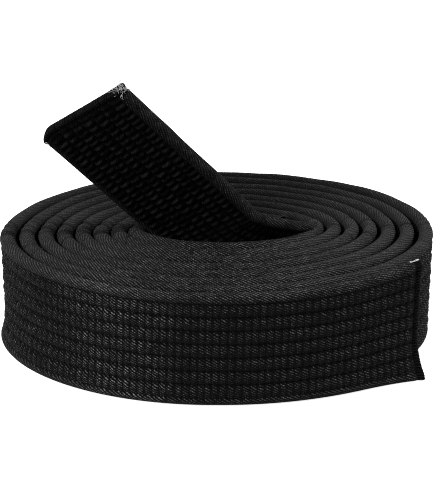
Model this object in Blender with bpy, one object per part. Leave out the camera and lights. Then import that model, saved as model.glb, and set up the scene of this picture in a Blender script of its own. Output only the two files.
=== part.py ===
"""A martial arts belt, rolled up and standing on its edge.

The belt is one long strap: a folded cotton cover, three interlining plies inside it, eight rows of
lengthwise stitching and an overcast seam over each end. It is wound into an oval coil. Its outer end
lies along the coil's front, and its inner end rises out of the middle and leans over to the left.

The two free ends bend, and the coil between them holds still, so each continuous piece of the belt is
three solids here: one on the outer end, one in the coil and one on the inner end. The coil's cover is
split once more, where the strap starts to rise out of it. The ends turn about lines in the strap's
outer face.

Frame: metres, +Z up, +X along the oval's long side, origin under the middle of the coil.
A place along the coil is a number of turns, counted inwards: 0 is at the front of the outermost turn,
0.25 at the left, 0.5 at the back and 0.75 at the right.
"""

from collections import namedtuple
from math import cos, pi, sin

import bmesh
import bpy
from mathutils import Vector

MM = 0.001

# The strap's section
BELT_WIDTH = 40.0 * MM
COVER_THICKNESS = 3.8 * MM  # between the rows of stitching, where the quilting is thinnest
COVER_WALL = 0.55 * MM
FOLD_CHAMFER = 0.9 * MM  # the folded edges of the cover
CLEARANCE = 0.3 * MM  # between pieces that touch on the real belt
PLY_COUNT = 3
PLY_END_INSET = 1.0 * MM
STITCH_ROWS = 8
ROW_PITCH = 4.85 * MM
THREAD_HEIGHT = 0.25 * MM
THREAD_WIDTH = 0.7 * MM
SEAM_LENGTH = 2.6 * MM
SEAM_THICKNESS = 0.35 * MM
SEAM_INSET = 1.0 * MM  # the end seams stop this far short of the folded edges

# The oval of the outermost turn, and how far each turn lies inside the one before
COIL_HALF_LENGTH = 71.5 * MM
COIL_HALF_DEPTH = 50.2 * MM
FRONT_PITCH = 5.5 * MM
BACK_PITCH = 5.1 * MM
LEFT_PITCH = 6.6 * MM
RIGHT_PITCH = 6.5 * MM
LEFT_TIGHTENING = 0.06 * MM  # the side pitches shrink towards the middle
RIGHT_TIGHTENING = 0.05 * MM
LEFT_SHIFT = -1.0 * MM  # how far behind the middle the oval is widest
RIGHT_SHIFT = 2.0 * MM
SHIFT_PER_TURN = 0.3 * MM
LEFT_POINTEDNESS = 1.08  # 1 is a round end
RIGHT_POINTEDNESS = 1.0
POINTEDNESS_PER_TURN = 0.01
STATIONS_PER_TURN = 16

# The outer end
OUTER_HINGE_TURN = -1 / STATIONS_PER_TURN
OUTER_STRAIGHT_TURN = -0.105  # the strap is straight from here to its outer tip
OUTER_STRAIGHT_LENGTH = 20.0 * MM

# The inner end
INNER_EXIT_TURN = 7.6875  # the strap leaves the coil's curve here
INNER_TIP = Vector((-44.6, -10.6, 87.2)) * MM
INNER_ALONG = Vector((-0.678, -0.113, 0.7265)).normalized()
INNER_ACROSS = Vector((0.683, -0.4635, 0.565))
INNER_STRAIGHT_LENGTH = 66.0 * MM  # from the top of the bend to the tip
INNER_HINGE_LENGTH = 48.0 * MM  # from the hinge to the tip
INNER_HINGE_GAP = 1.0 * MM  # lets the raised end bend back a little
UPPER_PULLS = (19.5 * MM, 16.0 * MM)  # how far each edge of the bend keeps its direction, at each end
LOWER_PULLS = (29.0 * MM, 38.0 * MM)
BEND_STATIONS = 12

HALF_THICKNESS = COVER_THICKNESS / 2
HALF_WIDTH = BELT_WIDTH / 2
THREAD_BASE = HALF_THICKNESS + CLEARANCE
HINGE_OFFSET = THREAD_BASE + THREAD_HEIGHT + 0.15 * MM

UP = Vector((0, 0, 1))

# along points inwards down the strap's length, across to its upper edge, out to its outer face
Station = namedtuple("Station", "centre along across out")


def clear_scene():
    for old in list(bpy.data.objects):
        bpy.data.objects.remove(old, do_unlink=True)


def make_material(name, colour, roughness):
    material = bpy.data.materials.new(name)
    material.use_nodes = True
    shader = material.node_tree.nodes["Principled BSDF"]
    shader.inputs["Base Color"].default_value = (*colour, 1)
    shader.inputs["Roughness"].default_value = roughness
    shader.inputs["Metallic"].default_value = 0
    material.diffuse_color = (*colour, 1)
    return material


# ---- the line that the strap follows ----


def coil_point(turn):
    """The strap's middle, at mid-height, this many turns in from the front."""
    side = sin(2 * pi * turn)
    front = cos(2 * pi * turn)
    if side > 0:
        inwards = turn - 0.25
        x = -(COIL_HALF_LENGTH - LEFT_PITCH * inwards + LEFT_TIGHTENING * inwards**2) * side
        widest_y = LEFT_SHIFT + SHIFT_PER_TURN * turn
        share = abs(front) ** (LEFT_POINTEDNESS + POINTEDNESS_PER_TURN * turn)
    else:
        inwards = turn - 0.75
        x = -(COIL_HALF_LENGTH - RIGHT_PITCH * inwards + RIGHT_TIGHTENING * inwards**2) * side
        widest_y = RIGHT_SHIFT + SHIFT_PER_TURN * turn
        share = abs(front) ** (RIGHT_POINTEDNESS + POINTEDNESS_PER_TURN * turn)
    if front > 0:
        end_y = -(COIL_HALF_DEPTH - FRONT_PITCH * turn)
    else:
        end_y = COIL_HALF_DEPTH - BACK_PITCH * (turn - 0.5)
    return Vector((x, widest_y + (end_y - widest_y) * share, HALF_WIDTH))


def coil_along(turn):
    step = 0.001
    return (coil_point(turn + step) - coil_point(turn - step)).normalized()


def station(centre, along, across):
    """A station whose across is made square to along."""
    along = along.normalized()
    across = (across - along * across.dot(along)).normalized()
    return Station(centre, along, across, across.cross(along))


def coil_station(turn):
    return station(coil_point(turn), coil_along(turn), UP)


def outer_end_stations():
    straight = coil_station(OUTER_STRAIGHT_TURN)
    tip = straight.centre - straight.along * OUTER_STRAIGHT_LENGTH
    return [station(tip, straight.along, UP), straight, coil_station(OUTER_HINGE_TURN)]


def coil_stations():
    count = round((INNER_EXIT_TURN - OUTER_HINGE_TURN) * STATIONS_PER_TURN)
    return [coil_station(OUTER_HINGE_TURN + step / STATIONS_PER_TURN) for step in range(count + 1)]


def raised_station(length):
    """On the straight raised end, this far short of its tip."""
    return station(INNER_TIP - INNER_ALONG * length, INNER_ALONG, INNER_ACROSS)


def cubic(start, start_pull, end, end_pull, s):
    return (
        start * (2 * s**3 - 3 * s**2 + 1)
        + start_pull * (s**3 - 2 * s**2 + s)
        + end * (3 * s**2 - 2 * s**3)
        + end_pull * (s**3 - s**2)
    )


def bend_edge(height, pulls, s):
    """A point on one edge of the bend that lifts the strap out of the coil."""
    start = coil_station(INNER_EXIT_TURN)
    end = raised_station(INNER_STRAIGHT_LENGTH)
    start_pull = start.along * pulls[0]
    end_pull = end.along * pulls[1]
    return cubic(place(start, 0, height), start_pull, place(end, 0, height), end_pull, s)


def bend_stations():
    """From the coil's innermost turn up to the hinge of the raised end, along two cubic edges."""
    step = 0.01

    def middle(s):
        upper = bend_edge(HALF_WIDTH, UPPER_PULLS, s)
        lower = bend_edge(-HALF_WIDTH, LOWER_PULLS, s)
        return (upper + lower) / 2, (upper - lower).normalized()

    found = []
    for number in range(1, BEND_STATIONS + 1):
        s = number / BEND_STATIONS
        centre, across = middle(s)
        along = (middle(s + step)[0] - middle(s - step)[0]).normalized()
        found.append(Station(centre, along, across, across.cross(along).normalized()))
    return found + [raised_station(INNER_HINGE_LENGTH)]


def inner_end_stations():
    return [raised_station(INNER_HINGE_LENGTH), raised_station(INNER_HINGE_LENGTH / 2), raised_station(0)]


def trimmed(stations, at_start, at_end):
    """The same stations with the first and last moved inwards along the strap."""
    first, last = stations[0], stations[-1]
    moved = list(stations)
    moved[0] = first._replace(centre=first.centre + first.along * at_start)
    moved[-1] = last._replace(centre=last.centre - last.along * at_end)
    return moved


# ---- the pieces that run along the strap ----


def place(at, outwards, upwards):
    return at.centre + at.out * outwards + at.across * upwards


def rectangle(low_out, high_out, half_up):
    return [(high_out, half_up), (low_out, half_up), (low_out, -half_up), (high_out, -half_up)]


def cover_outline():
    """The cover's outside: a rectangle whose four folded corners are each two points."""
    flat_out = HALF_THICKNESS - FOLD_CHAMFER
    flat_up = HALF_WIDTH - FOLD_CHAMFER
    return [
        (HALF_THICKNESS, flat_up),
        (flat_out, HALF_WIDTH),
        (-flat_out, HALF_WIDTH),
        (-HALF_THICKNESS, flat_up),
        (-HALF_THICKNESS, -flat_up),
        (-flat_out, -HALF_WIDTH),
        (flat_out, -HALF_WIDTH),
        (HALF_THICKNESS, -flat_up),
    ]


def sweep(mesh, outline, stations):
    """Rings of vertices along the stations, joined by triangles; the rings are returned.

    Every piece splits its four-sided gaps along the same diagonal, from the strap's upper edge here to
    its lower edge further on, so that nested pieces twist alike and stay apart.
    """
    rings = [[mesh.verts.new(place(at, *point)) for point in outline] for at in stations]
    count = len(outline)
    for here, there in zip(rings, rings[1:]):
        for i in range(count):
            j = (i + 1) % count
            if outline[i][1] < outline[j][1]:
                mesh.faces.new((here[i], here[j], there[i]))
                mesh.faces.new((here[j], there[j], there[i]))
            else:
                mesh.faces.new((here[i], here[j], there[j]))
                mesh.faces.new((here[i], there[j], there[i]))
    return rings


def close_tube_end(mesh, outside, inside):
    """The ring-shaped end face between the eight outside corners and the four inside ones."""
    for i, corner in enumerate(inside):
        mesh.faces.new((outside[2 * i], outside[2 * i + 1], corner))
        next_outside = outside[(2 * i + 2) % len(outside)]
        next_corner = inside[(i + 1) % len(inside)]
        mesh.faces.new((outside[2 * i + 1], next_outside, next_corner, corner))


def finish_object(name, mesh, material):
    bmesh.ops.recalc_face_normals(mesh, faces=mesh.faces)
    data = bpy.data.meshes.new(name)
    mesh.to_mesh(data)
    mesh.free()
    data.materials.append(material)
    for face in data.polygons:
        face.use_smooth = True
    data.set_sharp_from_angle(angle=pi / 5)
    made = bpy.data.objects.new(name, data)
    bpy.context.scene.collection.objects.link(made)
    return made


def make_bar(name, outline, stations, material):
    mesh = bmesh.new()
    rings = sweep(mesh, outline, stations)
    mesh.faces.new(rings[0])
    mesh.faces.new(reversed(rings[-1]))
    return finish_object(name, mesh, material)


def make_cover(name, stations, material):
    inner_half_thickness = HALF_THICKNESS - COVER_WALL
    inner_half_width = HALF_WIDTH - COVER_WALL - FOLD_CHAMFER / 2
    mesh = bmesh.new()
    outside = sweep(mesh, cover_outline(), stations)
    cavity = rectangle(-inner_half_thickness, inner_half_thickness, inner_half_width)
    inside = sweep(mesh, cavity, stations)
    close_tube_end(mesh, outside[0], inside[0])
    close_tube_end(mesh, outside[-1], inside[-1])
    return finish_object(name, mesh, material)


def make_ply(name, number, stations, material):
    """One interlining ply. Number 0 is the outermost of the stack."""
    room = COVER_THICKNESS - 2 * COVER_WALL
    thickness = (room - CLEARANCE * (PLY_COUNT + 1)) / PLY_COUNT
    high = room / 2 - CLEARANCE - number * (thickness + CLEARANCE)
    half_width = HALF_WIDTH - COVER_WALL - FOLD_CHAMFER / 2 - CLEARANCE
    return make_bar(name, rectangle(high - thickness, high, half_width), stations, material)


def make_stitch_row(name, number, stations, material):
    """The needle thread of one row. Row 1 is the highest, on the belt's outer face."""
    height = ROW_PITCH * ((STITCH_ROWS + 1) / 2 - number)
    outline = [
        (THREAD_BASE, height + THREAD_WIDTH / 2),
        (THREAD_BASE, height - THREAD_WIDTH / 2),
        (THREAD_BASE + THREAD_HEIGHT, height),
    ]
    return make_bar(name, outline, stations, material)


def make_end_seam(name, tip, towards_tip, material):
    """The overcast seam: a U of thread that wraps over the end of the strap."""
    near = HALF_THICKNESS + CLEARANCE
    far = near + SEAM_THICKNESS
    profile = [
        (-SEAM_LENGTH, far),
        (CLEARANCE + SEAM_THICKNESS, far),
        (CLEARANCE + SEAM_THICKNESS, -far),
        (-SEAM_LENGTH, -far),
        (-SEAM_LENGTH, -near),
        (CLEARANCE, -near),
        (CLEARANCE, near),
        (-SEAM_LENGTH, near),
    ]
    mesh = bmesh.new()
    rings = []
    for height in (HALF_WIDTH - SEAM_INSET, SEAM_INSET - HALF_WIDTH):
        points = [place(tip, out, height) + towards_tip * reach for reach, out in profile]
        rings.append([mesh.verts.new(point) for point in points])
    for i in range(len(profile)):
        j = (i + 1) % len(profile)
        mesh.faces.new((rings[0][i], rings[0][j], rings[1][j], rings[1][i]))
    mesh.faces.new(rings[0])
    mesh.faces.new(reversed(rings[1]))
    return finish_object(name, mesh, material)


# ---- the belt ----


def hang_on_hinge(name, at, pieces):
    """An empty on the line that an end bends about, with that end's pieces as its children."""
    hinge = bpy.data.objects.new(name, None)
    hinge.empty_display_size = 10 * MM
    hinge.location = place(at, HINGE_OFFSET, 0)
    bpy.context.scene.collection.objects.link(hinge)
    bpy.context.view_layer.update()
    for piece in pieces:
        piece.parent = hinge
        piece.matrix_parent_inverse = hinge.matrix_world.inverted()


def trims(gap):
    """How far short of a stretch's end its cover, plies and threads stop, at a hinge with this gap."""
    return {"cover": gap / 2, "ply": gap / 2, "thread": gap / 2}


def make_filling(suffix, stations, start, end, materials):
    """The plies and stitch rows of one stretch."""
    pieces = []
    ply_line = trimmed(stations, start["ply"], end["ply"])
    for number, letter in enumerate("abc"[:PLY_COUNT]):
        pieces.append(make_ply(f"interlining_{letter}_{suffix}", number, ply_line, materials["core"]))
    thread_line = trimmed(stations, start["thread"], end["thread"])
    for number in range(1, STITCH_ROWS + 1):
        name = f"stitch_row_{number}_{suffix}"
        pieces.append(make_stitch_row(name, number, thread_line, materials["thread"]))
    return pieces


def make_end(suffix, stations, start, end, materials):
    """The cover and filling of a free end."""
    cover_line = trimmed(stations, start["cover"], end["cover"])
    cover = make_cover(f"cover_{suffix}", cover_line, materials["cover"])
    return [cover] + make_filling(suffix, stations, start, end, materials)


def build():
    clear_scene()
    materials = {
        "cover": make_material("black_twill", (0.014, 0.014, 0.015), 0.85),
        "core": make_material("undyed_cotton", (0.62, 0.58, 0.50), 0.95),
        "thread": make_material("black_thread", (0.02, 0.02, 0.021), 0.6),
        "seam": make_material("overcast_thread", (0.03, 0.03, 0.031), 0.7),
    }
    tip = {"cover": 0.0, "ply": PLY_END_INSET, "thread": SEAM_LENGTH + CLEARANCE}
    split = trims(CLEARANCE)
    inner_hinge = trims(INNER_HINGE_GAP)
    outer, coil, bend, inner = outer_end_stations(), coil_stations(), bend_stations(), inner_end_stations()

    make_cover("cover_coil", trimmed(coil[:-1], split["cover"], split["cover"]), materials["cover"])
    bend_line = trimmed(coil[-2:] + bend, split["cover"], inner_hinge["cover"])
    make_cover("cover_bend", bend_line, materials["cover"])
    make_filling("coil", coil + bend, split, inner_hinge, materials)

    outer_pieces = make_end("outer_end", outer, tip, split, materials)
    outer_pieces.append(make_end_seam("end_seam_outer", outer[0], -outer[0].along, materials["seam"]))
    hang_on_hinge("outer_end_hinge", outer[-1], outer_pieces)

    inner_pieces = make_end("inner_end", inner, inner_hinge, tip, materials)
    inner_pieces.append(make_end_seam("end_seam_inner", inner[-1], inner[-1].along, materials["seam"]))
    hang_on_hinge("inner_end_hinge", inner[0], inner_pieces)


build()
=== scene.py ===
"""The looks of the martial arts belt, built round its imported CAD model.

The strap is built again as one smooth surface: a twill cover with rolled edges, quilted by eight rows of
lock stitching, over three canvas plies, with an overcast seam at each end. It follows the same line as the
CAD strap. Its free ends bend smoothly between the CAD bodies.

A place on the strap is (s, v): s is the length from the outer tip inwards, and v is the height above the
strap's middle line. All lengths are in metres.
"""

from math import cos, pi, radians, sin

import bpy
import numpy as np
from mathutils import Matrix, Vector


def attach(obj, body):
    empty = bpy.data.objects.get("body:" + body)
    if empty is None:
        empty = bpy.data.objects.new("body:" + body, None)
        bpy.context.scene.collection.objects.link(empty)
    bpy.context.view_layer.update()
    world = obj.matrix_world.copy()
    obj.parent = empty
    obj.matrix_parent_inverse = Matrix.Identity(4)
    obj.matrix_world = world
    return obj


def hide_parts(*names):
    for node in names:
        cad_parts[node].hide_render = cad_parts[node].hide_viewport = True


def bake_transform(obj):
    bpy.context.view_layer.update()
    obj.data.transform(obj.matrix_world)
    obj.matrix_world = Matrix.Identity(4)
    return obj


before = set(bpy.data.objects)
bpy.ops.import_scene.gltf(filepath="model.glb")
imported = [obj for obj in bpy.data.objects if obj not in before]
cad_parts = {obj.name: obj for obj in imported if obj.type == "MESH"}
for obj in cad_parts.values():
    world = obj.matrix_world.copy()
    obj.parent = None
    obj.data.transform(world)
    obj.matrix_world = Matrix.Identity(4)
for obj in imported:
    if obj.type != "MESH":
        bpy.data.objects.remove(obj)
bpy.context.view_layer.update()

MM = 0.001

# ---- the line of the strap, as in the CAD model ----

BELT_WIDTH = 40.0 * MM
HALF_WIDTH = BELT_WIDTH / 2
COIL_HALF_LENGTH = 71.5 * MM
COIL_HALF_DEPTH = 50.2 * MM
FRONT_PITCH = 5.5 * MM
BACK_PITCH = 5.1 * MM
LEFT_PITCH = 6.6 * MM
RIGHT_PITCH = 6.5 * MM
LEFT_TIGHTENING = 0.06 * MM
RIGHT_TIGHTENING = 0.05 * MM
LEFT_SHIFT = -1.0 * MM
RIGHT_SHIFT = 2.0 * MM
SHIFT_PER_TURN = 0.3 * MM
LEFT_POINTEDNESS = 1.08
RIGHT_POINTEDNESS = 1.0
POINTEDNESS_PER_TURN = 0.01
OUTER_HINGE_TURN = -1 / 16
OUTER_STRAIGHT_TURN = -0.105
OUTER_STRAIGHT_LENGTH = 20.0 * MM
INNER_EXIT_TURN = 7.6875
INNER_TIP = np.array((-44.6, -10.6, 87.2)) * MM
INNER_ALONG = np.array((-0.678, -0.113, 0.7265))
INNER_ACROSS = np.array((0.683, -0.4635, 0.565))
INNER_STRAIGHT_LENGTH = 66.0 * MM
INNER_HINGE_LENGTH = 48.0 * MM
UPPER_PULLS = (19.5 * MM, 16.0 * MM)
LOWER_PULLS = (29.0 * MM, 38.0 * MM)

SAMPLE = 0.25 * MM  # the spacing of the samples of the line
ROUNDING = 1.6 * MM  # how far the line is evened out, so that its pointed bends stay smooth
EXIT_ROUNDING = 4.0 * MM  # it is rounder where the strap leaves the coil
EXIT_REACH = 14 * MM  # which fades over about this length to each side
SPARE = 8 * MM  # the line runs on this far past each tip
TURN_STEP = 0.0004  # the spacing of the coil's first points, in turns
FLAP_POINTS = 120
RISE_POINTS = 300  # along the bend out of the coil, and along the raised end
BEND_NARROWNESS = 24  # a higher power makes the left and right bends count as shorter

# ---- the strap's section ----

ROWS = 8
ROW_PITCH = 4.85 * MM
STITCH = 2.4 * MM
EDGE_ROW = ROW_PITCH * (ROWS - 1) / 2
ROLL_START = 18.0 * MM  # the rolled edge turns round from this height
ROLL_HALF_THICKNESS = 2.2 * MM
ROLL_HEIGHT = HALF_WIDTH - ROLL_START
ROLL_ARC = pi * (ROLL_HALF_THICKNESS + ROLL_HEIGHT) / 2
FRONT_SWELLING = 0.2 * MM
BACK_SWELLING = 0.05 * MM
LEFT_SWELLING = 0.45 * MM
RIGHT_SWELLING = 0.2 * MM
EDGE_VALLEY = 1.75 * MM  # half the thickness in the first and last row of stitching
VALLEY = 1.3 * MM  # half the thickness in a row of stitching
CROWN = 2.3 * MM  # and between two rows
OUTER_PUCKER = 0.12  # how much the stitches gather the cloth between two rows, on the outer face
INNER_PUCKER = 0.5  # and on the inner face
RAISED_PUCKER = 0.6  # and on both faces of the raised end
DIMPLE = 0.12 * MM  # how far the cloth dips at each needle hole
ROW_PHASE = 0.3  # the stitches of each row start a little later than those of the row below
STITCH_DRIFT = 0.6  # how unevenly the stitches are spaced
DEEPEST_CREASE = 1.4 * MM  # no wrinkle in the rolled edge is deeper
CREASED_HALF_TURNS = 15
LEFT_WRINKLES = 9  # in each bend
RIGHT_WRINKLES = 6
LEFT_WRINKLE_SPREAD = 4.5 * MM  # how far they scatter from the middle of the bend
RIGHT_WRINKLE_SPREAD = 5.5 * MM
LIP_V = -14.3 * MM  # the cover's overlapping edge, on the inner face
UNDER_V = -13.2 * MM  # and the edge beneath it
TIP_DEPTHS = np.array((0, 0.08, 0.25, 0.6, 1.1, 1.6, 2.1, 2.7, 3.4, 4.6)) * MM  # in from each tip
TIP_HALF_THICKNESS = np.array((0.2, 0.6, 1.0, 1.3, 1.3, 1.05, 0.9, 1.05, 1.4, 1.7)) * MM
TIP_FLATTENING = (1.2 * MM, 4.6 * MM)  # the quilting fades out between these depths
SPREADING = 0.075  # how much wider the strap is where the end seams press it flat
OUTER_LIFT = 0.9  # the share of that by which the outer end rises, as it stands on the floor
INNER_SPREADING = 0.025  # and the same for the inner end
RAISED_FROM = 70 * MM  # the raised end is a little wider than the coil from this far before its tip
RAISED_RAMP = 25 * MM  # and it widens over this length
RAISED_SPREADING = 0.05
RAISED_DROP = 0.45 * MM  # how far the raised end lies lower across its width
ROUNDED_CORNER = 3.0 * MM  # how far the lower corner of the inner tip is rounded off
CORNER_START = 14 * MM  # and how far below the middle line that starts
CORNER_BULK = 0.75  # how much thicker the tips are at their corners, where the edges are rolled
OUTER_REACH = 1.0 * MM  # how far the outer tip reaches past the end of the CAD strap
FLARE = 1.2 * MM  # how far the bottom corner of the outer tip sticks out
FLARE_REACH = 12 * MM  # what happens at a tip fades over about this length
LOW_START = 5 * MM  # the low part of the strap starts this far below the middle line
LOW_REACH = 15 * MM
CORNER_OUT = 4.4 * MM  # how far that corner stands out from the coil
LEAN = 1.9 * MM  # how far the bottom of the outermost turn spreads outwards on the left
SHADED_END_FROM = (2020, 2090)  # the raised end is painted darker from here on, as painted shade, in mm
LIT_PATCH_AT = 102  # the coil's face is painted paler about here, a painted pool of light, in mm
TWILL_ALONG = 0.607  # twill lines to a millimetre along the strap
TWILL_ACROSS = 1.13  # and across it

# ---- the threads, the plies and where the pieces of the free ends reach ----

THREAD_RADIUS = 0.19 * MM
SEAM_DEPTH = 2.5 * MM
OVERCAST_PITCH = 0.5 * MM
POINTS_PER_STITCH = 5  # along a thread of the quilting
THREAD_SIDES = 5
BLENDS = {  # lengths each side of an end's hinge: on the coil's side, and on the end's side
    "outer_end": (7 * MM, 9 * MM),
    "inner_end": (13 * MM, 18 * MM),
}
PAST_BLEND = 1.5 * MM  # the pieces of an end reach this far past the first of those lengths
PLY_THICKNESS = 0.6 * MM
PLY_STEP = 0.68 * MM
PLY_STRIPS = 10  # faces across each side of a ply
PLY_TUCK = 22 * MM  # the plies' upper edge is tucked down where the strap folds as it leaves the coil
PLY_TUCK_REACH = 9 * MM
PLY_START = 3.6 * MM  # how far the plies stop short of each tip
ROW_START = 4.2 * MM  # and the rows of stitching

LINE = {}  # the samples: s, centre, along, across, out


def unit(vectors):
    return vectors / np.linalg.norm(vectors, axis=-1, keepdims=True)


def coil_points(turn):
    """The strap's middle line, this many turns inwards from the front."""
    side, front = np.sin(2 * pi * turn), np.cos(2 * pi * turn)
    left = side > 0
    inwards = np.where(left, turn - 0.25, turn - 0.75)
    pitch = np.where(left, LEFT_PITCH, RIGHT_PITCH)
    tightening = np.where(left, LEFT_TIGHTENING, RIGHT_TIGHTENING)
    x = -(COIL_HALF_LENGTH - pitch * inwards + tightening * inwards**2) * side
    widest_y = np.where(left, LEFT_SHIFT, RIGHT_SHIFT) + SHIFT_PER_TURN * turn
    power = np.where(left, LEFT_POINTEDNESS, RIGHT_POINTEDNESS) + POINTEDNESS_PER_TURN * turn
    end_y = np.where(
        front > 0, -(COIL_HALF_DEPTH - FRONT_PITCH * turn), COIL_HALF_DEPTH - BACK_PITCH * (turn - 0.5)
    )
    y = widest_y + (end_y - widest_y) * np.abs(front) ** power
    return np.stack([x, y, np.full_like(x, HALF_WIDTH)], axis=-1)


def cubic(start, start_pull, end, end_pull, share):
    s = share[:, None]
    return (
        start * (2 * s**3 - 3 * s**2 + 1)
        + start_pull * (s**3 - 2 * s**2 + s)
        + end * (3 * s**2 - 2 * s**3)
        + end_pull * (s**3 - s**2)
    )


def evened(values, spacing, rounding):
    """values smoothed by a bell curve this wide, with both ends held."""
    reach = int(3 * rounding / spacing)
    bell = np.exp(-0.5 * (np.arange(-reach, reach + 1) * spacing / rounding) ** 2)
    bell /= bell.sum()
    head = 2 * values[0] - values[reach:0:-1]
    tail = 2 * values[-1] - values[-2 : -reach - 2 : -1]
    padded = np.concatenate([head, values, tail])
    return np.stack([np.convolve(padded[:, i], bell, mode="valid") for i in range(values.shape[1])], axis=1)


def resampled(columns, spacing):
    """The same line with even spacing. The first three columns are its points."""
    steps = np.linalg.norm(np.diff(columns[:, :3], axis=0), axis=1)
    s = np.concatenate([[0], np.cumsum(steps)])
    even = np.linspace(0, s[-1], int(round(s[-1] / spacing)) + 1)
    return even, np.stack([np.interp(even, s, column) for column in columns.T], axis=1)


def lay_line():
    """Fills LINE with the strap's whole line, from past the outer tip to past the inner tip."""
    turns = np.arange(OUTER_STRAIGHT_TURN, INNER_EXIT_TURN, TURN_STEP)
    coil = coil_points(turns)
    ahead = unit(coil[1] - coil[0])
    flap = coil[0] - ahead * np.linspace(OUTER_STRAIGHT_LENGTH + SPARE, SAMPLE, FLAP_POINTS)[:, None]

    exit_along = unit(coil[-1] - coil[-2])
    along = INNER_ALONG / np.linalg.norm(INNER_ALONG)
    across = unit(INNER_ACROSS - along * INNER_ACROSS.dot(along))
    root = INNER_TIP - along * INNER_STRAIGHT_LENGTH
    up = np.array((0.0, 0.0, 1.0))
    share = np.linspace(0, 1, RISE_POINTS)[1:]
    upper, lower = (
        cubic(coil[-1] + up * h, exit_along * pulls[0], root + across * h, along * pulls[1], share)
        for h, pulls in ((HALF_WIDTH, UPPER_PULLS), (-HALF_WIDTH, LOWER_PULLS))
    )
    raised = root + along * np.linspace(SAMPLE, INNER_STRAIGHT_LENGTH + SPARE, RISE_POINTS)[:, None]

    points = np.concatenate([flap, coil, (upper + lower) / 2, raised])
    upright = np.tile(up, (len(flap) + len(coil), 1))
    leaning = np.tile(across, (len(raised), 1))
    heights = np.concatenate([upright, unit(upper - lower), leaning])
    # Past the coil the turn number only runs on a little, so that it still rises along the strap.
    before = OUTER_STRAIGHT_TURN - np.linspace(0.1, 0.001, len(flap))
    after = INNER_EXIT_TURN + np.linspace(0.001, 0.3, len(upper) + len(raised))
    turn = np.concatenate([before, turns, after])[:, None]
    s, columns = resampled(np.concatenate([points, heights, turn], axis=1), SAMPLE)
    LINE["s"], LINE["turn"] = s - SPARE, columns[:, 6]
    rounded, eased = (evened(columns[:, :6], SAMPLE, rounding) for rounding in (ROUNDING, EXIT_ROUNDING))
    at_exit = np.exp(-(((LINE["s"] - s_at_turn(INNER_EXIT_TURN)) / EXIT_REACH) ** 2))[:, None]
    rounded = rounded + (eased - rounded) * at_exit
    points, heights = rounded[:, :3], unit(rounded[:, 3:])
    alongs = unit(np.gradient(points, axis=0))
    heights = unit(heights - alongs * (heights * alongs).sum(axis=1, keepdims=True))
    LINE["centre"], LINE["along"], LINE["across"] = points, alongs, heights
    LINE["out"] = np.cross(heights, alongs)
    LINE["length"] = float(s[-1]) - 2 * SPARE


def on_line(name, s):
    """One of the line's vectors at each s."""
    return np.stack([np.interp(s, LINE["s"], LINE[name][:, i]) for i in range(3)], axis=-1)


def raised_share(s):
    """0 in the coil and 1 along the raised end."""
    share = np.clip((s - LINE["length"] + RAISED_FROM) / RAISED_RAMP, 0, 1)
    return share**2 * (3 - 2 * share)


def on_strap(s, out, up):
    """Points this far out of the strap's middle plane and this far up across it."""
    s, out, up = np.broadcast_arrays(s, out, up)
    at_outer, at_inner = (
        np.exp(-np.maximum(depth, 0) / FLARE_REACH) for depth in (s, LINE["length"] - s)
    )
    raised, turn = raised_share(s), turn_at_s(s)
    low = np.clip((-up - LOW_START) / LOW_REACH, 0, 1) ** 2
    corner = np.clip((-up - CORNER_START) / (HALF_WIDTH - CORNER_START), 0, 1) ** 2
    leaning = np.where(turn < 0.5, np.maximum(np.sin(2 * pi * turn), 0), 0)
    out = out + low * (CORNER_OUT * at_outer + LEAN * leaning)
    up = up * (1 + SPREADING * at_outer + INNER_SPREADING * at_inner + RAISED_SPREADING * raised)
    up = up + SPREADING * HALF_WIDTH * OUTER_LIFT * at_outer - RAISED_DROP * raised
    s = s - (OUTER_REACH + FLARE * low) * at_outer - ROUNDED_CORNER * corner * at_inner
    return on_line("centre", s) + on_line("out", s) * out[..., None] + on_line("across", s) * up[..., None]


def s_at_turn(turn):
    """How far along the strap this turn of the coil is."""
    return float(np.interp(turn, LINE["turn"], LINE["s"]))


def turn_at_s(s):
    return np.interp(s, LINE["s"], LINE["turn"])


# ---- the quilted surface ----


def wobble(x, wavelength, seed):
    """A smooth wavering between about -1 and 1 along x, the same each run."""
    rng = np.random.default_rng(seed)
    total = 0
    for share in (1.0, 0.61, 0.37):
        total = total + share * np.sin(2 * pi * x / (wavelength * share) + rng.uniform(0, 2 * pi))
    return total / 1.6


def bend_sharpness(s):
    """1 at the left and right bends of the coil, 0 between them."""
    turn = turn_at_s(s)
    inside = (turn > 0.1) & (turn < INNER_EXIT_TURN)
    return np.where(inside, np.abs(np.sin(2 * pi * turn)) ** BEND_NARROWNESS, 0.0)


def roll_half_thickness(s):
    """The rolled edge swells where the coil leaves it room, most of all in the left and right bends."""
    turn = turn_at_s(s)
    coiled = np.clip((INNER_EXIT_TURN - turn) / 0.05, 0, 1)
    front, left = np.cos(2 * pi * turn), np.sin(2 * pi * turn)
    swelling = FRONT_SWELLING * np.maximum(front, 0) ** 2 + BACK_SWELLING * np.minimum(front, 0) ** 2
    swelling = swelling + np.where(left > 0, LEFT_SWELLING, RIGHT_SWELLING) * left**4
    return ROLL_HALF_THICKNESS + coiled * swelling


def stitch_place(s, number):
    """s, moved so that each stitch of row number spans a whole multiple of STITCH."""
    return s + STITCH * (ROW_PHASE * number + STITCH_DRIFT * wobble(s, 23 * MM, 5)) / (2 * pi)


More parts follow.
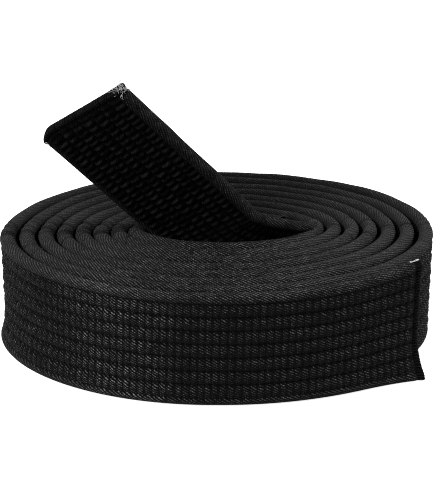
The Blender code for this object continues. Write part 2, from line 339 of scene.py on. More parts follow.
def half_thickness(s, v, side):
    """How far the quilted face lies out of the strap's middle plane. side is 1 outside and -1 inside."""
    cell = np.clip(v / ROW_PITCH + (ROWS - 1) / 2, 0, ROWS - 1)
    number = np.minimum(np.floor(cell), ROWS - 2)
    share = cell - number
    stitch = np.cos(2 * pi * stitch_place(s, number) / STITCH)
    puff = np.sin(pi * share) ** 0.8
    pucker = np.where(side > 0, OUTER_PUCKER, INNER_PUCKER)
    pucker = pucker + (RAISED_PUCKER - pucker) * raised_share(s)
    slack = 1 + 0.1 * wobble(s + 3 * MM * number, 7 * MM, 11) + pucker * stitch
    face = VALLEY + (CROWN - VALLEY) * puff * slack + DIMPLE * stitch * (1 - puff)
    roll_share = np.clip((np.abs(v) - EDGE_ROW) / (ROLL_START - EDGE_ROW), 0, 1)
    roll = EDGE_VALLEY + (roll_half_thickness(s) - EDGE_VALLEY) * np.sin(pi / 2 * roll_share) ** 0.8
    shallow = np.clip(np.abs(v) / EDGE_ROW * (ROWS - 1) - (ROWS - 2), 0, 1)
    face = face + (EDGE_VALLEY - VALLEY) * shallow * (1 - puff)
    return np.where(np.abs(v) < EDGE_ROW, face, roll)


def section(outer_steps, inner_steps, fold_steps):
    """The cover's section, from its under edge round to its overlapping lip, as rows of (v, angle, q).

    On the outer face angle is 90 and on the inner face -90. Round a rolled edge it runs from one to the
    other, and is 0 at the very edge. q is how far round the section the point lies.
    """
    rims = ROLL_START - (ROLL_START - EDGE_ROW) * np.array((0.3, 0.65))

    def face(low, high, steps_per_row):
        rows = np.linspace(-EDGE_ROW, EDGE_ROW, (ROWS - 1) * steps_per_row + 1)
        heights = np.sort(np.concatenate([-rims, rows, rims]))
        kept = heights[(heights > low + 0.1 * MM) & (heights < high - 0.1 * MM)]
        return np.concatenate([[low], kept, [high]])

    inner_base = 2 * ROLL_START + ROLL_ARC
    round_edge = np.linspace(-90, 90, fold_steps + 1)
    under = face(-ROLL_START, UNDER_V, inner_steps)[::-1]
    over = face(LIP_V, ROLL_START, inner_steps)[::-1]
    rows = [(v, -90, -inner_base - v) for v in under[:-1]]
    rows += [(-ROLL_START, a, -ROLL_START - ROLL_ARC * (90 - a) / 180) for a in round_edge]
    rows += [(v, 90, v) for v in face(-ROLL_START, ROLL_START, outer_steps)[1:-1]]
    rows += [(ROLL_START, a, ROLL_START + ROLL_ARC * (90 - a) / 180) for a in round_edge[::-1]]
    rows += [(v, -90, inner_base - v) for v in over[1:]]
    return np.array(rows)


def crease_depth(s, out):
    """The wrinkles pressed into the rolled edge where the strap bends sharply."""
    depth = np.zeros(np.broadcast(s, out).shape)
    rng = np.random.default_rng(23)
    for half_turn in range(CREASED_HALF_TURNS):
        left = half_turn % 2 == 0
        middle = s_at_turn(0.25 + half_turn / 2)
        for _ in range(LEFT_WRINKLES if left else RIGHT_WRINKLES):
            at = middle + rng.normal(0, LEFT_WRINKLE_SPREAD if left else RIGHT_WRINKLE_SPREAD)
            slant = rng.uniform(-0.35, 0.35)
            deep = rng.uniform(0.35, 0.7 + 0.04 * half_turn if left else 0.45) * MM
            wide = rng.uniform(0.26, 0.42) * MM
            depth = depth + deep * np.exp(-0.5 * ((s - at - slant * out) / wide) ** 2)
    return DEEPEST_CREASE * (1 - np.exp(-depth / DEEPEST_CREASE))


def cover_points(s, part):
    """Points of the cover at each s, for the section rows in part."""
    v, angle, _ = part.T
    s = s[:, None]
    turned = np.radians(angle)
    squarer = np.sign(turned) * np.abs(np.sin(turned)) ** 0.95
    on_roll = np.abs(angle) < 89.9
    side = np.sign(angle)
    out = np.where(on_roll, roll_half_thickness(s) * squarer, side * half_thickness(s, v, side))
    depth = tip_depth(s)
    quilted = np.clip((depth - TIP_FLATTENING[0]) / (TIP_FLATTENING[1] - TIP_FLATTENING[0]), 0, 1)
    flat = tip_half_thickness(depth, v) * np.sin(turned)
    out = flat + (out - flat) * quilted**2 * (3 - 2 * quilted)
    up = np.where(on_roll, np.sign(v) * (ROLL_START + ROLL_HEIGHT * np.cos(turned) ** 0.95), v)
    # The lip lies over the under edge, and its own edge is turned in.
    lip = np.clip(1 - np.abs(v - LIP_V) / (3 * MM), 0, 1) * (side < 0)
    is_over = np.arange(len(part)) > len(part) / 2
    out = out - np.where(is_over, 0.35 * MM, -0.25 * MM) * lip
    out[:, -1] += 0.45 * MM
    roundness = np.cos(turned) * on_roll
    top = v > 0
    lift = 0.16 * wobble(s, 31 * MM, 3) + 0.22 * wobble(s, 140 * MM, 4) - 0.1
    pressed = crease_depth(s, np.sin(turned) * ROLL_HALF_THICKNESS)
    inner_share = 0.65 - 0.35 * np.sin(turned)
    up = up + np.where(top, lift * MM - pressed * inner_share, 0.0) * roundness
    up = up + np.where(top, 0.0, pressed * inner_share + 0.05 * MM) * roundness
    squeeze = 1 - np.where(top & on_roll, 1.0, 0.0) * pressed / (2.4 * MM)
    return on_strap(s, out * squeeze, up)


def tip_depth(s):
    """How far in from the nearer tip."""
    return np.minimum(s, LINE["length"] - s)


def tip_half_thickness(depth, v):
    """Half the thickness of a pressed tip this far in. It is thicker at the corners."""
    bulk = 1 + CORNER_BULK * np.minimum(np.abs(v) / ROLL_START, 1) ** 6
    return np.interp(depth, TIP_DEPTHS, TIP_HALF_THICKNESS) * bulk


# ---- meshes ----


def new_mesh(name, points, faces, uv=None, strap_uv=None, bend_uv=None):
    """An object of these points and faces, shaded smooth. Each uv holds a pair for each point."""
    data = bpy.data.meshes.new(name)
    data.from_pydata(points.reshape(-1, 3).tolist(), [], faces)
    corners = np.empty(len(data.loops), np.int32)
    data.loops.foreach_get("vertex_index", corners)
    for layer_name, pairs in (("cloth", uv), ("strap", strap_uv), ("bend", bend_uv)):
        if pairs is not None:
            layer = data.uv_layers.new(name=layer_name)
            layer.data.foreach_set("uv", pairs.reshape(-1, 2)[corners].astype(np.float32).ravel())
    data.polygons.foreach_set("use_smooth", [True] * len(data.polygons))
    data.update()
    made = bpy.data.objects.new(name, data)
    bpy.context.scene.collection.objects.link(made)
    return made


def grid_faces(rows, columns, closed=False, start=0):
    """Quads between rows of points. closed joins the last column to the first."""
    r, c = np.meshgrid(np.arange(rows - 1), np.arange(columns if closed else columns - 1), indexing="ij")
    here, beside = r * columns + c, r * columns + (c + 1) % columns
    quads = np.stack([here, beside, beside + columns, here + columns], axis=-1) + start
    return quads.reshape(-1, 4).tolist()


def stations(start, end, plain, fine):
    """Places from start to end, plain apart in the straights and fine apart in the bends."""
    walk = np.arange(start, end, 0.05 * MM)
    spacing = plain + (fine - plain) * bend_sharpness(walk)
    count = np.concatenate([[0], np.cumsum(0.05 * MM / spacing)])
    walk = np.append(walk, end)
    places = np.interp(np.linspace(0, count[-1], int(np.ceil(count[-1])) + 1), count, walk)
    extra = np.concatenate([TIP_DEPTHS, LINE["length"] - TIP_DEPTHS])
    extra = extra[(extra > start) & (extra < end)]
    return np.unique(np.concatenate([places, extra]))


def make_cover(name, s, part):
    """The cover along s, with three maps. "cloth" is the place on the flat cloth. "strap" is the place on
    the strap, in step with the stitches. "bend" is 1 mm where the coil's face looks to the front and -1 mm
    where it looks to the back, and how deep the wrinkles are."""
    points = cover_points(s, part)
    uv = np.stack(np.broadcast_arrays(s[:, None], part[None, :, 2]), axis=-1)
    stitched = stitch_place(s[:, None], part[None, :, 0] / ROW_PITCH + (ROWS - 1) / 2)
    strap_uv = np.stack(np.broadcast_arrays(stitched, part[None, :, 0]), axis=-1)
    turn = turn_at_s(s)
    front = np.where((turn > 0) & (turn < INNER_EXIT_TURN), np.cos(2 * pi * turn), 1.0)
    pressed = crease_depth(s[:, None], roll_half_thickness(s)[:, None] * np.sin(np.radians(part[:, 1])))
    bend_uv = np.stack(np.broadcast_arrays(front[:, None] * MM, pressed), axis=-1)
    return new_mesh(name, points, grid_faces(len(s), len(part)), uv, strap_uv, bend_uv)


def tube(path, radius, sides):
    """Rings of points round a path, with one radius for each point of it."""
    ahead = unit(np.gradient(path, axis=0))
    aside = unit(np.cross(ahead, np.array((0.31, 0.22, 0.92))))
    upright = np.cross(aside, ahead)
    angle = 2 * pi * np.arange(sides) / sides
    ring = aside[:, None] * np.cos(angle)[:, None] + upright[:, None] * np.sin(angle)[:, None]
    return path[:, None] + ring * np.reshape(radius, (-1, 1, 1))


def join_tubes(name, tubes):
    """One mesh of several tubes with closed ends. Each is its rings of points."""
    points, faces, uv, start = [], [], [], 0
    for rings in tubes:
        rows, sides = rings.shape[:2]
        faces += grid_faces(rows, sides, closed=True, start=start)
        faces.append([start + i for i in reversed(range(sides))])
        faces.append([start + (rows - 1) * sides + i for i in range(sides)])
        length = np.concatenate([[0], np.cumsum(np.linalg.norm(np.diff(rings.mean(1), axis=0), axis=1))])
        round_it = np.arange(sides)[None] / sides
        uv.append(np.stack(np.broadcast_arrays(length[:, None], round_it), -1).reshape(-1, 2))
        points.append(rings.reshape(-1, 3))
        start += rows * sides
    return new_mesh(name, np.concatenate(points), faces, np.concatenate(uv))


def make_ribbon(name, s, middle, thickness, half_width):
    """A flat ply along the strap, with rounded corners and closed ends."""
    bevel = thickness * 0.3
    half = thickness / 2
    rise = np.linspace(bevel - half_width, half_width - bevel, PLY_STRIPS + 1)
    outline = [(half, v) for v in rise]
    outline += [(half - bevel, half_width), (bevel - half, half_width)]
    outline += [(-half, v) for v in rise[::-1]]
    outline += [(bevel - half, -half_width), (half - bevel, -half_width)]
    out, up = np.array(outline).T
    folded = np.exp(-(((s[:, None] - s_at_turn(INNER_EXIT_TURN)) / PLY_TUCK_REACH) ** 2))
    points = on_strap(s[:, None], middle + out, np.minimum(up, half_width - PLY_TUCK * folded))
    round_it = np.concatenate([[0], np.cumsum(np.hypot(np.diff(out), np.diff(up)))])
    uv = np.stack(np.broadcast_arrays(s[:, None], round_it), axis=-1)
    count = len(outline)
    faces = grid_faces(len(s), count, closed=True)
    faces.append(list(reversed(range(count))))
    faces.append([(len(s) - 1) * count + i for i in range(count)])
    return new_mesh(name, points, faces, uv)


def row_height(number):
    """Where stitch row number lies. Row 1 is the highest."""
    return ROW_PITCH * ((ROWS + 1) / 2 - number)


def make_stitch_row(name, number, start, end):
    """The needle thread on the outer face and the bobbin thread on the inner face, over and under."""
    tubes = []
    for side in (1, -1):
        count = int((end - start) / STITCH * POINTS_PER_STITCH)
        s = np.linspace(start, end, count + 1)
        phase = 2 * pi * (s / STITCH) + 1.3 * number + (0.0 if side > 0 else pi)
        rise = np.clip(0.55 + np.cos(phase), -0.45, 1.0)
        out = side * (half_thickness(s, row_height(number), side) + 0.1 * MM * rise - 0.1 * MM)
        up = row_height(number) + 0.06 * MM * wobble(s, 13 * MM, number)
        path = on_strap(s, out, up)
        tubes.append(tube(path, THREAD_RADIUS * (1 + 0.1 * np.cos(phase)), THREAD_SIDES))
    return join_tubes(name, tubes)


# ---- the ends ----


def tip_place(depth, out, up, at_outer):
    """A point this deep into the strap from its outer or its inner tip."""
    s = depth if at_outer else LINE["length"] - depth
    return on_strap(np.asarray(s, float), out, up)


def make_end_seam(name, at_outer, seed):
    """Overcast thread wrapped round the end of the strap, and the row of stitches that holds it."""
    rng = np.random.default_rng(seed)
    tubes = []
    heights = np.arange(-HALF_WIDTH + 0.9 * MM, HALF_WIDTH - 0.9 * MM, OVERCAST_PITCH)
    for count, up in enumerate(heights):
        reach = SEAM_DEPTH + rng.uniform(-0.2, 0.25) * MM
        lean = ((0.3 if count % 2 else -0.3) + rng.normal(0, 0.2)) * MM
        angle = np.linspace(-1, 1, 15)
        depth = reach - (reach + 0.15 * MM) * np.cos(pi / 2 * angle) ** 0.4
        proud = 0.08 * MM + THREAD_RADIUS * rng.uniform(0.2, 0.8)
        thick = tip_half_thickness(depth, up) + proud
        thick[[0, -1]] -= 0.4 * MM
        edge = np.clip((HALF_WIDTH - abs(up)) / (2.0 * MM), 0, 1) ** 0.5
        out = np.sign(angle) * thick * np.minimum(1, np.abs(angle) * 6) * (0.2 + 0.8 * edge)
        rise = up + lean * angle + rng.uniform(-0.08, 0.08) * MM
        path = tip_place(depth, out, rise, at_outer)
        tubes.append(tube(path, THREAD_RADIUS * rng.uniform(0.85, 1.2), 6))
    for side in (1, -1):
        up = np.linspace(-HALF_WIDTH + 1.6 * MM, HALF_WIDTH - 1.6 * MM, 150)
        wave = 0.16 * MM * np.cos(2 * pi * up / (1.2 * MM))
        depth = SEAM_DEPTH + 0.2 * MM + 0.1 * MM * wobble(up, 6 * MM, seed + side)
        out = side * (tip_half_thickness(depth, up) + 0.1 * MM + wave)
        tubes.append(tube(tip_place(depth, out, up, at_outer), THREAD_RADIUS * 1.1, 6))
    return join_tubes(name, tubes)


def make_fibres(name, at_outer, middle, spread, count, length, radius, seed):
    """Loose thread ends about middle, a (depth, out, up) at one tip. spread is how far they start from it."""
    rng = np.random.default_rng(seed)
    tubes = []
    for _ in range(count):
        start = np.array(middle) + rng.normal(0, 1, 3) * np.array(spread)
        heading = unit(rng.normal(0, 1, 3) + np.array((-0.5, 0.4, 0.3)))
        bend = rng.normal(0, 1.6, 3)
        walk = np.linspace(0, 1, 7)[:, None] * length * rng.uniform(0.5, 1.2)
        path = start + heading * walk + bend * walk**2 / length * 0.5
        tubes.append(tube(tip_place(*path.T, at_outer), radius * rng.uniform(0.7, 1.2), 5))
    return join_tubes(name, tubes)


def make_thread_stub(name, seed):
    """The cut end of a pale thread that lies on the rolled edge at the outer tip."""
    rng = np.random.default_rng(seed)
    tubes = []
    for _ in range(6):
        walk = np.linspace(0, 1, 7)
        depth = (1.0 + 2.6 * walk) * MM + rng.normal(0, 0.15) * MM
        out = (0.3 + rng.normal(0, 0.22)) * MM + 0.12 * MM * np.sin(5 * walk + rng.uniform(0, 6))
        up = HALF_WIDTH + rng.uniform(0, 0.35) * MM + 0.25 * MM * walk**2
        tubes.append(tube(tip_place(depth, out, up, True), THREAD_RADIUS * rng.uniform(0.5, 0.9), 5))
    return join_tubes(name, tubes)


# ---- materials ----


class Nodes:
    """A short way to write a material's node graph."""

    def __init__(self, name):
        self.material = bpy.data.materials.new(name)
        self.material.use_nodes = True
        self.tree = self.material.node_tree
        self.shader = self.tree.nodes["Principled BSDF"]

    def add(self, kind, *inputs, **settings):
        node = self.tree.nodes.new("ShaderNode" + kind)
        for key, value in settings.items():
            setattr(node, key, value)
        for slot, value in enumerate(inputs):
            if isinstance(value, bpy.types.NodeSocket):
                self.tree.links.new(value, node.inputs[slot])
            elif value is not None:
                node.inputs[slot].default_value = value
        return node

    def math(self, operation, *inputs):
        return self.add("Math", *inputs, operation=operation).outputs[0]

    def noise(self, vector, scale, detail=2.0, roughness=0.5):
        node = self.add("TexNoise", vector)
        node.inputs["Scale"].default_value = scale
        node.inputs["Detail"].default_value = detail
        node.inputs["Roughness"].default_value = roughness
        return node.outputs["Fac"]

    def spread(self, value, low, high, new_low=0.0, new_high=1.0):
        node = self.add("MapRange", value, low, high, new_low, new_high)
        node.interpolation_type = "SMOOTHSTEP"
        return node.outputs[0]

    def cloth_place(self, uv_map="cloth"):
        """How far along and how far round the cloth a point is, in millimetres."""
        uv = self.add("UVMap", uv_map=uv_map).outputs[0]
        parts = self.add("SeparateXYZ", uv)
        return [self.math("MULTIPLY", parts.outputs[i], 1 / MM) for i in (0, 1)]

    def vector(self, x, y, z=0.0):
        return self.add("CombineXYZ", x, y, z).outputs[0]

    def weighted(self, x, x_share, y, y_share):
        return self.math("MULTIPLY_ADD", x, x_share, self.math("MULTIPLY", y, y_share))

    def changed(self, value, mask, share):
        """value, raised or lowered by this share of itself where mask is 1."""
        return self.math("MULTIPLY", value, self.math("MULTIPLY_ADD", mask, share, 1.0))

    def wave(self, cycles):
        """0 to 1 and back once a cycle."""
        turned = self.math("MULTIPLY", cycles, 2 * pi)
        return self.math("MULTIPLY_ADD", self.math("SINE", turned), 0.5, 0.5)

    def ramp(self, value, *stops):
        node = self.add("ValToRGB", value)
        elements = node.color_ramp.elements
        while len(elements) < len(stops):
            elements.new(0.5)
        for element, (at, grey) in zip(elements, stops):
            element.position = at
            element.color = (*grey, 1) if isinstance(grey, tuple) else (grey, grey, grey, 1)
        return node.outputs[0]

    def finish(self, colour, roughness, height, depth, strength=1.0, **sockets):
        self.tree.links.new(colour, self.shader.inputs["Base Color"])
        self.tree.links.new(roughness, self.shader.inputs["Roughness"])
        bump = self.add("Bump", strength, depth)
        self.tree.links.new(height, bump.inputs["Height"])
        self.tree.links.new(bump.outputs[0], self.shader.inputs["Normal"])
        for socket, value in sockets.items():
            self.shader.inputs[socket.replace("_", " ")].default_value = value
        return self.material


def twill(name):
    """Black cotton drill: steep ridges of short floats. The rolled edges are paler, partly worn and partly a
    painted highlight. Painted shade darkens the stitch rows, needle holes, creases, end seams, the coil's
    back and the raised end, which has painted highlights on its puffs. A painted pool of light brightens the
    coil's face.
    """
    n = Nodes(name)
    along, across = n.cloth_place()
    cycles = n.weighted(along, -TWILL_ALONG, across, TWILL_ACROSS)
    waver = n.noise(n.vector(along, across), 0.35, 2)
    cycles = n.math("MULTIPLY_ADD", n.math("SUBTRACT", waver, 0.5), 1.1, cycles)
    ridge = n.wave(cycles)
    down_ridge = n.weighted(along, TWILL_ACROSS, across, TWILL_ALONG)
    stagger = n.math("MULTIPLY", n.math("FLOOR", cycles), 0.382)
    float_wave = n.wave(n.math("MULTIPLY_ADD", down_ridge, 0.85, stagger))
    streak_place = n.vector(n.math("MULTIPLY", cycles, 1.2), n.math("MULTIPLY", down_ridge, 0.45))
    streaks = n.noise(streak_place, 1.0, 3, 0.6)
    fuzz = n.noise(n.vector(along, across), 5.0, 3, 0.6)
    patches = n.noise(n.vector(along, across), 0.12, 3, 0.6)

    lit = n.math("MULTIPLY", n.math("POWER", ridge, 1.4), n.spread(streaks, 0.25, 0.75, 0.25, 1.0))
    lit = n.math("MULTIPLY", lit, n.math("MULTIPLY_ADD", float_wave, 0.45, 0.55))
    lit = n.math("MULTIPLY_ADD", n.math("SUBTRACT", fuzz, 0.5), 0.35, lit)
    lit = n.math("MULTIPLY", lit, n.spread(patches, 0.2, 0.8, 0.75, 1.2))
    up = n.math("ABSOLUTE", n.cloth_place("strap")[1])
    # painted shade: darker along the rows of stitching
    groove_shade = n.wave(n.math("MULTIPLY_ADD", up, MM / ROW_PITCH, 0.75))
    groove_shade = n.math("MULTIPLY", n.math("POWER", groove_shade, 5.0), n.spread(up, 18.2, 14.5))
    lit = n.changed(lit, groove_shade, -0.35)
    # painted shade: darker at each needle hole
    hole_shade = n.wave(n.math("MULTIPLY_ADD", n.cloth_place("strap")[0], MM / STITCH, 0.75))
    hole_shade = n.math("MULTIPLY", n.math("POWER", hole_shade, 3.0), n.spread(up, 18.2, 16.5))
    lit = n.changed(lit, hole_shade, -0.6)
    # painted light: a pool of light painted paler on the coil's face
    lit_patch = n.spread(n.math("ABSOLUTE", n.math("SUBTRACT", along, LIT_PATCH_AT)), 26, 6)
    lit = n.changed(lit, lit_patch, 0.42)
    # the inner face of the strap is darker
    inner = n.spread(n.math("ABSOLUTE", across), 21, 25)
    lit = n.changed(lit, inner, -0.72)
    # painted shade: darker on the cloth under the overcast seams at both tips
    sewn = n.spread(along, 2.9, 2.5)
    held = n.spread(n.math("ABSOLUTE", n.math("SUBTRACT", along, LINE["length"] / MM - 2.4)), 0.8, 0.4)
    seam_shade = n.math(
        "MULTIPLY", n.math("MULTIPLY_ADD", sewn, -0.85, 1.0), n.math("MULTIPLY_ADD", held, -0.8, 1.0)
    )
    lit = n.math("MULTIPLY", lit, seam_shade)
    edge = n.math("MULTIPLY", n.spread(up, 16.0, 19.5), n.math("SUBTRACT", 1.0, sewn))
    front, pressed = n.cloth_place("bend")
    bent = n.math("POWER", n.math("SUBTRACT", 1.0, n.math("MULTIPLY", front, front)), 0.75)
    # painted shade: darker where the coil's face looks to the back
    lit = n.math("MULTIPLY", lit, n.spread(front, -1.0, 0.3, 0.62, 1.0))
    # the rolled edge is paler in the bends, partly from wear and partly as a painted highlight
    rub_and_highlight = n.math("MULTIPLY", n.math("MULTIPLY", bent, edge), 0.75)
    beside_rub_and_highlight = n.math("MULTIPLY", lit, n.math("SUBTRACT", 1.0, rub_and_highlight))
    lit = n.math("ADD", beside_rub_and_highlight, n.math("MULTIPLY", rub_and_highlight, 0.46))
    # painted shade: darker in the wrinkle creases of the rolled edge
    crease_shade = n.math("MULTIPLY", n.spread(pressed, 0.08, 0.5), edge)
    lit = n.changed(lit, crease_shade, -0.75)
    colour = n.ramp(lit, (0.0, 0.0), (0.2, 0.0008), (0.6, 0.04), (1.0, 0.15))
    # the rolled edges turn a paler grey, partly from wear and partly as a painted highlight
    wear_and_highlight = n.math("MULTIPLY", edge, n.math("MULTIPLY_ADD", patches, 0.5, 0.35))
    wear_and_highlight = n.math("MULTIPLY", wear_and_highlight, n.math("MULTIPLY_ADD", bent, 0.75, 0.25))
    pale = n.add("Mix", wear_and_highlight, data_type="RGBA")
    n.tree.links.new(colour, pale.inputs["A"])
    n.tree.links.new(n.ramp(lit, (0.0, 0.006), (0.4, 0.017), (1.0, 0.04)), pale.inputs["B"])
    # painted shade: the raised end is painted darker, less so on its rolled edges
    shaded_end = n.spread(n.math("MULTIPLY_ADD", patches, 40, along), *SHADED_END_FROM)
    shaded_end = n.changed(shaded_end, edge, -0.65)
    # painted highlights on the puffs of the raised end, with painted shade in its stitch rows and needle
    # holes
    puff = n.math("MULTIPLY", n.math("SUBTRACT", 1.0, groove_shade), n.math("SUBTRACT", 1.0, hole_shade))
    puff = n.math("MULTIPLY", puff, n.spread(n.noise(n.vector(along, across), 0.33, 2), 0.35, 0.65, 0.1, 1.0))
    puff = n.math("MULTIPLY", n.math("MULTIPLY", puff, seam_shade), n.math("MULTIPLY_ADD", ridge, 0.5, 0.5))
    tone = n.add("Mix", shaded_end, data_type="RGBA")
    n.tree.links.new(pale.outputs["Result"], tone.inputs["A"])
    n.tree.links.new(n.ramp(puff, (0.0, 0.0004), (1.0, 0.0095)), tone.inputs["B"])
    gloss = n.math("MULTIPLY_ADD", shaded_end, -0.05, 0.06)
    n.tree.links.new(gloss, n.shader.inputs["Specular IOR Level"])
    roughness = n.spread(lit, 0.0, 1.0, 0.95, 0.7)
    height = n.math("MULTIPLY_ADD", float_wave, 0.3, ridge)
    height = n.math("MULTIPLY_ADD", fuzz, 0.25, height)
    return n.finish(
        tone.outputs["Result"], roughness, height, 0.1 * MM, 0.9, Sheen_Weight=0.005, Sheen_Roughness=0.5,
    )


def thread(name, dark, light, gloss):
    """Twisted sewing thread. dark and light are its grey in the twist's grooves and on its plies."""
    n = Nodes(name)
    along, across = n.cloth_place()
    twist = n.wave(n.math("MULTIPLY_ADD", along, 2.6, n.math("MULTIPLY", across, MM * 2)))
    fuzz = n.noise(n.vector(along, n.math("MULTIPLY", across, 0.004)), 3.0, 3)
    lit = n.math("MULTIPLY", twist, n.spread(fuzz, 0.2, 0.8, 0.5, 1.0))
    colour = n.ramp(lit, (0.0, dark), (1.0, light))
    return n.finish(colour, n.spread(lit, 0, 1, 0.85, gloss), lit, 0.05 * MM, Specular_IOR_Level=0.04)


def canvas(name):
    """Undyed cotton canvas in a plain weave."""
    n = Nodes(name)
    along, across = n.cloth_place()
    warp, weft = n.wave(n.math("MULTIPLY", along, 1.25)), n.wave(n.math("MULTIPLY", across, 1.25))
    weave = n.math("MAXIMUM", warp, weft)
    slub = n.noise(n.vector(n.math("MULTIPLY", along, 0.2), across), 1.2, 3)
    lit = n.math("MULTIPLY", weave, n.spread(slub, 0.2, 0.8, 0.6, 1.0))
    colour = n.ramp(lit, (0.0, (0.30, 0.27, 0.21)), (1.0, (0.68, 0.64, 0.55)))
    return n.finish(colour, n.spread(lit, 0, 1, 0.95, 0.85), lit, 0.15 * MM)


def floor_paint(name):
    """Matt pale paint that glows a little."""
    n = Nodes(name)
    place = n.add("TexCoord").outputs["Object"]
    mottle = n.noise(place, 3.0, 2)
    colour = n.ramp(mottle, (0.0, 0.52), (1.0, 0.56))
    return n.finish(
        colour, n.spread(mottle, 0, 1, 0.6, 0.7), mottle, 0.01 * MM, Emission_Color=(1, 1, 1, 1),
        Emission_Strength=FLOOR_GLOW,
    )


# ---- camera, stage and light ----

VIEW_ELEVATION = radians(25)
VIEW_DISTANCE = 0.6
VIEW_TARGET = Vector((0, -0.00585, 0.0355))
VIEW_LENS = 128.5
LIT_POINT = Vector((0, 0, 0.03))
LIGHT_DISTANCE = 1.1
LIGHTS = [  # name, azimuth, elevation, size and watts
    ("top", 0, 90, 0.9, 2),
    ("front_left", -48, 46, 0.6, 20),
    ("front_right", 35, 60, 0.6, 4),
    ("right", 95, 35, 0.6, 12.5),
    ("back", 180, 50, 0.6, 1),
]
WORLD_STRENGTH = 0.02
FLOOR_GLOW = 0.85
FLOOR_REACH = 4.0
FILTER_WIDTH = 1.1


def add_camera():
    data = bpy.data.cameras.new("camera")
    data.lens = VIEW_LENS
    data.clip_end = 20
    camera = bpy.data.objects.new("camera", data)
    back = Vector((0, -cos(VIEW_ELEVATION), sin(VIEW_ELEVATION)))
    camera.location = VIEW_TARGET + back * VIEW_DISTANCE
    camera.rotation_euler = (pi / 2 - VIEW_ELEVATION, 0, 0)
    bpy.context.scene.collection.objects.link(camera)
    bpy.context.scene.camera = camera


def add_light(name, azimuth, elevation, size, watts):
    """A square soft light. Azimuth is 0 in front of the belt and 90 on its right."""
    azimuth, elevation = radians(azimuth), radians(elevation)
    away = Vector((sin(azimuth) * cos(elevation), -cos(azimuth) * cos(elevation), sin(elevation)))
    data = bpy.data.lights.new(name, "AREA")
    data.size = size
    data.energy = watts
    lamp = bpy.data.objects.new(name, data)
    lamp.location = LIT_POINT + away * LIGHT_DISTANCE
    lamp.rotation_euler = away.to_track_quat("Z", "Y").to_euler()
    bpy.context.scene.collection.objects.link(lamp)


def add_stage():
    """The pale floor and the walls round it, the faint world light, the lamps and the render settings."""
    paint = floor_paint("pale_floor")
    far = FLOOR_REACH
    square = ((-far, -far), (far, -far), (far, far), (-far, far))
    floor = new_mesh("floor", np.array([(x, y, 0) for x, y in square]), [[0, 1, 2, 3]])
    corners = [(x, y, z) for z in (0, 2 * far) for x, y in square]
    sides = [[i, (i + 1) % 4, (i + 1) % 4 + 4, i + 4] for i in range(4)]
    backdrop = new_mesh("backdrop", np.array(corners, float), sides)
    backdrop.data.polygons.foreach_set("use_smooth", [False] * 4)
    for staged in (floor, backdrop):
        staged.data.materials.append(paint)
        staged.visible_diffuse = False
    world = bpy.data.worlds.new("studio")
    world.use_nodes = True
    background = world.node_tree.nodes["Background"]
    background.inputs["Color"].default_value = (1, 1, 1, 1)
    background.inputs["Strength"].default_value = WORLD_STRENGTH
    bpy.context.scene.world = world
    for name, azimuth, elevation, size, watts in LIGHTS:
        add_light(name, azimuth, elevation, size, watts)
    bpy.context.scene.view_settings.view_transform = "Standard"
    bpy.context.scene.cycles.filter_width = FILTER_WIDTH
    bpy.context.scene.cycles.use_denoising = False


# ---- the belt ----


def dress(piece, material, body, stands_for=()):
    """Gives a piece its material and slot. A piece of the coil rides with the coil's body; any other piece
    has its place baked into its points.
    """
    piece.data.materials.append(material)
    if body == "coil":
        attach(piece, "coil")
    else:
        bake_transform(piece)
    if stands_for:
        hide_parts(*stands_for)
    return piece


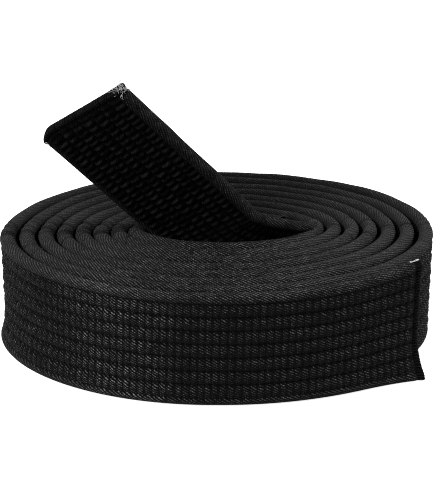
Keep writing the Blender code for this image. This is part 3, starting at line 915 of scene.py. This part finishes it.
def build():
    add_camera()
    lay_line()
    add_stage()
    cover_cloth = twill("black_twill")
    sewing = thread("black_thread", 0.0003, 0.0025, 0.8)
    overcast = thread("overcast_thread", 0.0002, 0.008, 0.6)
    core = canvas("undyed_canvas")
    pale = thread("frayed_cotton", 0.2, 0.6, 0.8)

    length = LINE["length"]
    first = s_at_turn(OUTER_HINGE_TURN) + BLENDS["outer_end"][0] + PAST_BLEND
    second = s_at_turn(1.06)
    third = s_at_turn(3.3)
    fourth = s_at_turn(6.6)
    last = length - INNER_HINGE_LENGTH - BLENDS["inner_end"][0] - PAST_BLEND
    fine = section(8, 8, 12)
    outside_fine = section(8, 2, 12)
    hidden = section(2, 2, 12)
    covers = [
        ("cover_flap", 0, first, 0.4 * MM, 0.4 * MM, fine, "outer_end", ["cover_outer_end"]),
        ("cover_outer_turn", first, second, 0.55 * MM, 0.32 * MM, outside_fine, "coil", ["cover_coil"]),
        ("cover_second_turns", second, third, 1.2 * MM, 0.3 * MM, hidden, "coil", ["cover_coil"]),
        ("cover_middle_turns", third, fourth, 1.0 * MM, 0.3 * MM, hidden, "coil", ["cover_coil"]),
        ("cover_inner_turn", fourth, last, 0.5 * MM, 0.3 * MM, fine, "coil", ["cover_coil", "cover_bend"]),
        ("cover_raised_end", last, length, 0.4 * MM, 0.4 * MM, fine, "inner_end", ["cover_inner_end"]),
    ]
    for name, start, end, plain, close, part, body, nodes in covers:
        piece = make_cover(name, stations(start, end, plain, close), part)
        dress(piece, cover_cloth, body, nodes)

    bodies = {"outer_end": (0, first), "coil": (first, last), "inner_end": (last, length)}
    for body, (start, end) in bodies.items():
        at_outer_tip = PLY_START if body == "outer_end" else 0
        at_inner_tip = PLY_START if body == "inner_end" else 0
        s = stations(start + at_outer_tip, end - at_inner_tip, 2.0 * MM, 1.0 * MM)
        for number, letter in enumerate("abc"):
            middle = PLY_STEP * (1 - number)
            ply = make_ribbon(f"ply_{letter}_{body}", s, middle, PLY_THICKNESS, HALF_WIDTH - 1.6 * MM)
            dress(ply, core, body, [f"interlining_{letter}_{body}"])
        thread_start = start + (ROW_START if body == "outer_end" else 0)
        thread_end = end - (ROW_START if body == "inner_end" else 0)
        for number in range(1, ROWS + 1):
            row = make_stitch_row(f"thread_row_{number}_{body}", number, thread_start, thread_end)
            dress(row, sewing, body, [f"stitch_row_{number}_{body}"])

    dress(make_end_seam("overcast_outer", True, 7), overcast, "outer_end", ["end_seam_outer"])
    dress(make_end_seam("overcast_inner", False, 8), overcast, "inner_end", ["end_seam_inner"])
    corner = make_fibres(
        "frayed_corner", False, (0.8 * MM, 0.8 * MM, HALF_WIDTH - 1.2 * MM), (0.9 * MM, 0.7 * MM, 0.9 * MM),
        110, 1.5 * MM, 0.05 * MM, 31,
    )
    dress(corner, pale, "inner_end")
    stub = make_thread_stub("thread_stub", 32)
    dress(stub, pale, "outer_end")


build()
